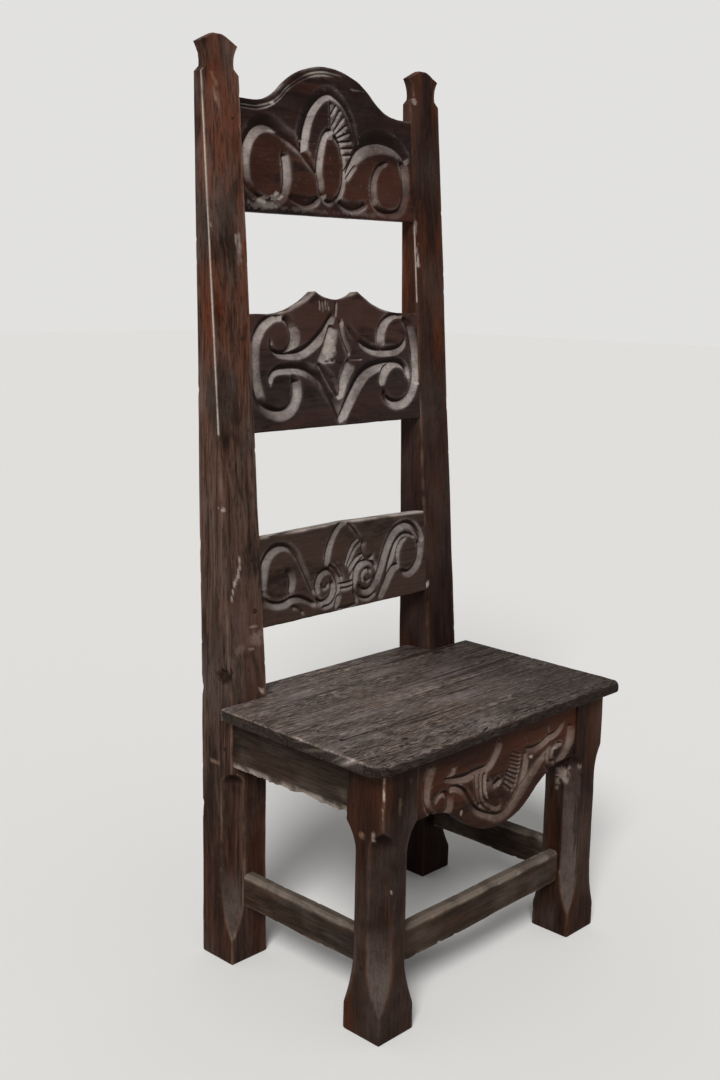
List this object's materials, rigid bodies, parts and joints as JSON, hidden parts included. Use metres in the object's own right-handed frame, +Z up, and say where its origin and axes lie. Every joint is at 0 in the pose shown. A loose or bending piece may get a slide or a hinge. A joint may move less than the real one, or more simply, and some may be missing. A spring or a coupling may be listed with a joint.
{
  "type": "wainscot chair",
  "caption": "Tall joined oak chair: leaning tapered rear posts with cut finials, carved back rails, a board seat, carved apron, stop-chamfered front legs and low stretchers.",
  "frame": {"origin": "on the floor under the centre of the chair's plan", "axes": "+Z up along the posts, +X to the right of someone who faces the chair's front, +Y towards its back"},
  "size_m": [0.5757, 0.416, 1.38],
  "materials": {
    "frame_oak": "aged dark oak, worn satin",
    "carved_oak": "aged dark oak, dusty and worn on the carving",
    "rail_oak": "aged dark oak, worn satin",
    "seat_oak": "weathered grey-brown oak, dry",
    "peg_oak": "aged dark oak, end grain"
  },
  "bodies": {
    "root": {"rear_post_left": "frame_oak", "rear_post_right": "frame_oak", "front_leg_left": "frame_oak", "front_leg_right": "frame_oak", "crest_rail": "carved_oak", "middle_rail": "carved_oak", "lower_rail": "carved_oak", "front_apron": "carved_oak", "seat_rail_left": "rail_oak", "seat_rail_right": "rail_oak", "seat_rail_rear": "rail_oak", "stretcher_left": "rail_oak", "stretcher_right": "rail_oak", "stretcher_front": "rail_oak", "seat_front_board": "seat_oak", "seat_rear_board": "seat_oak", "crest_rail_pegs": "peg_oak", "middle_rail_pegs": "peg_oak", "lower_rail_pegs": "peg_oak", "apron_pegs": "peg_oak", "rear_seat_rail_pegs": "peg_oak", "side_seat_rail_pegs": "peg_oak", "side_stretcher_pegs": "peg_oak", "front_stretcher_pegs": "peg_oak", "seat_pegs": "peg_oak"}
  },
  "joints": []
}
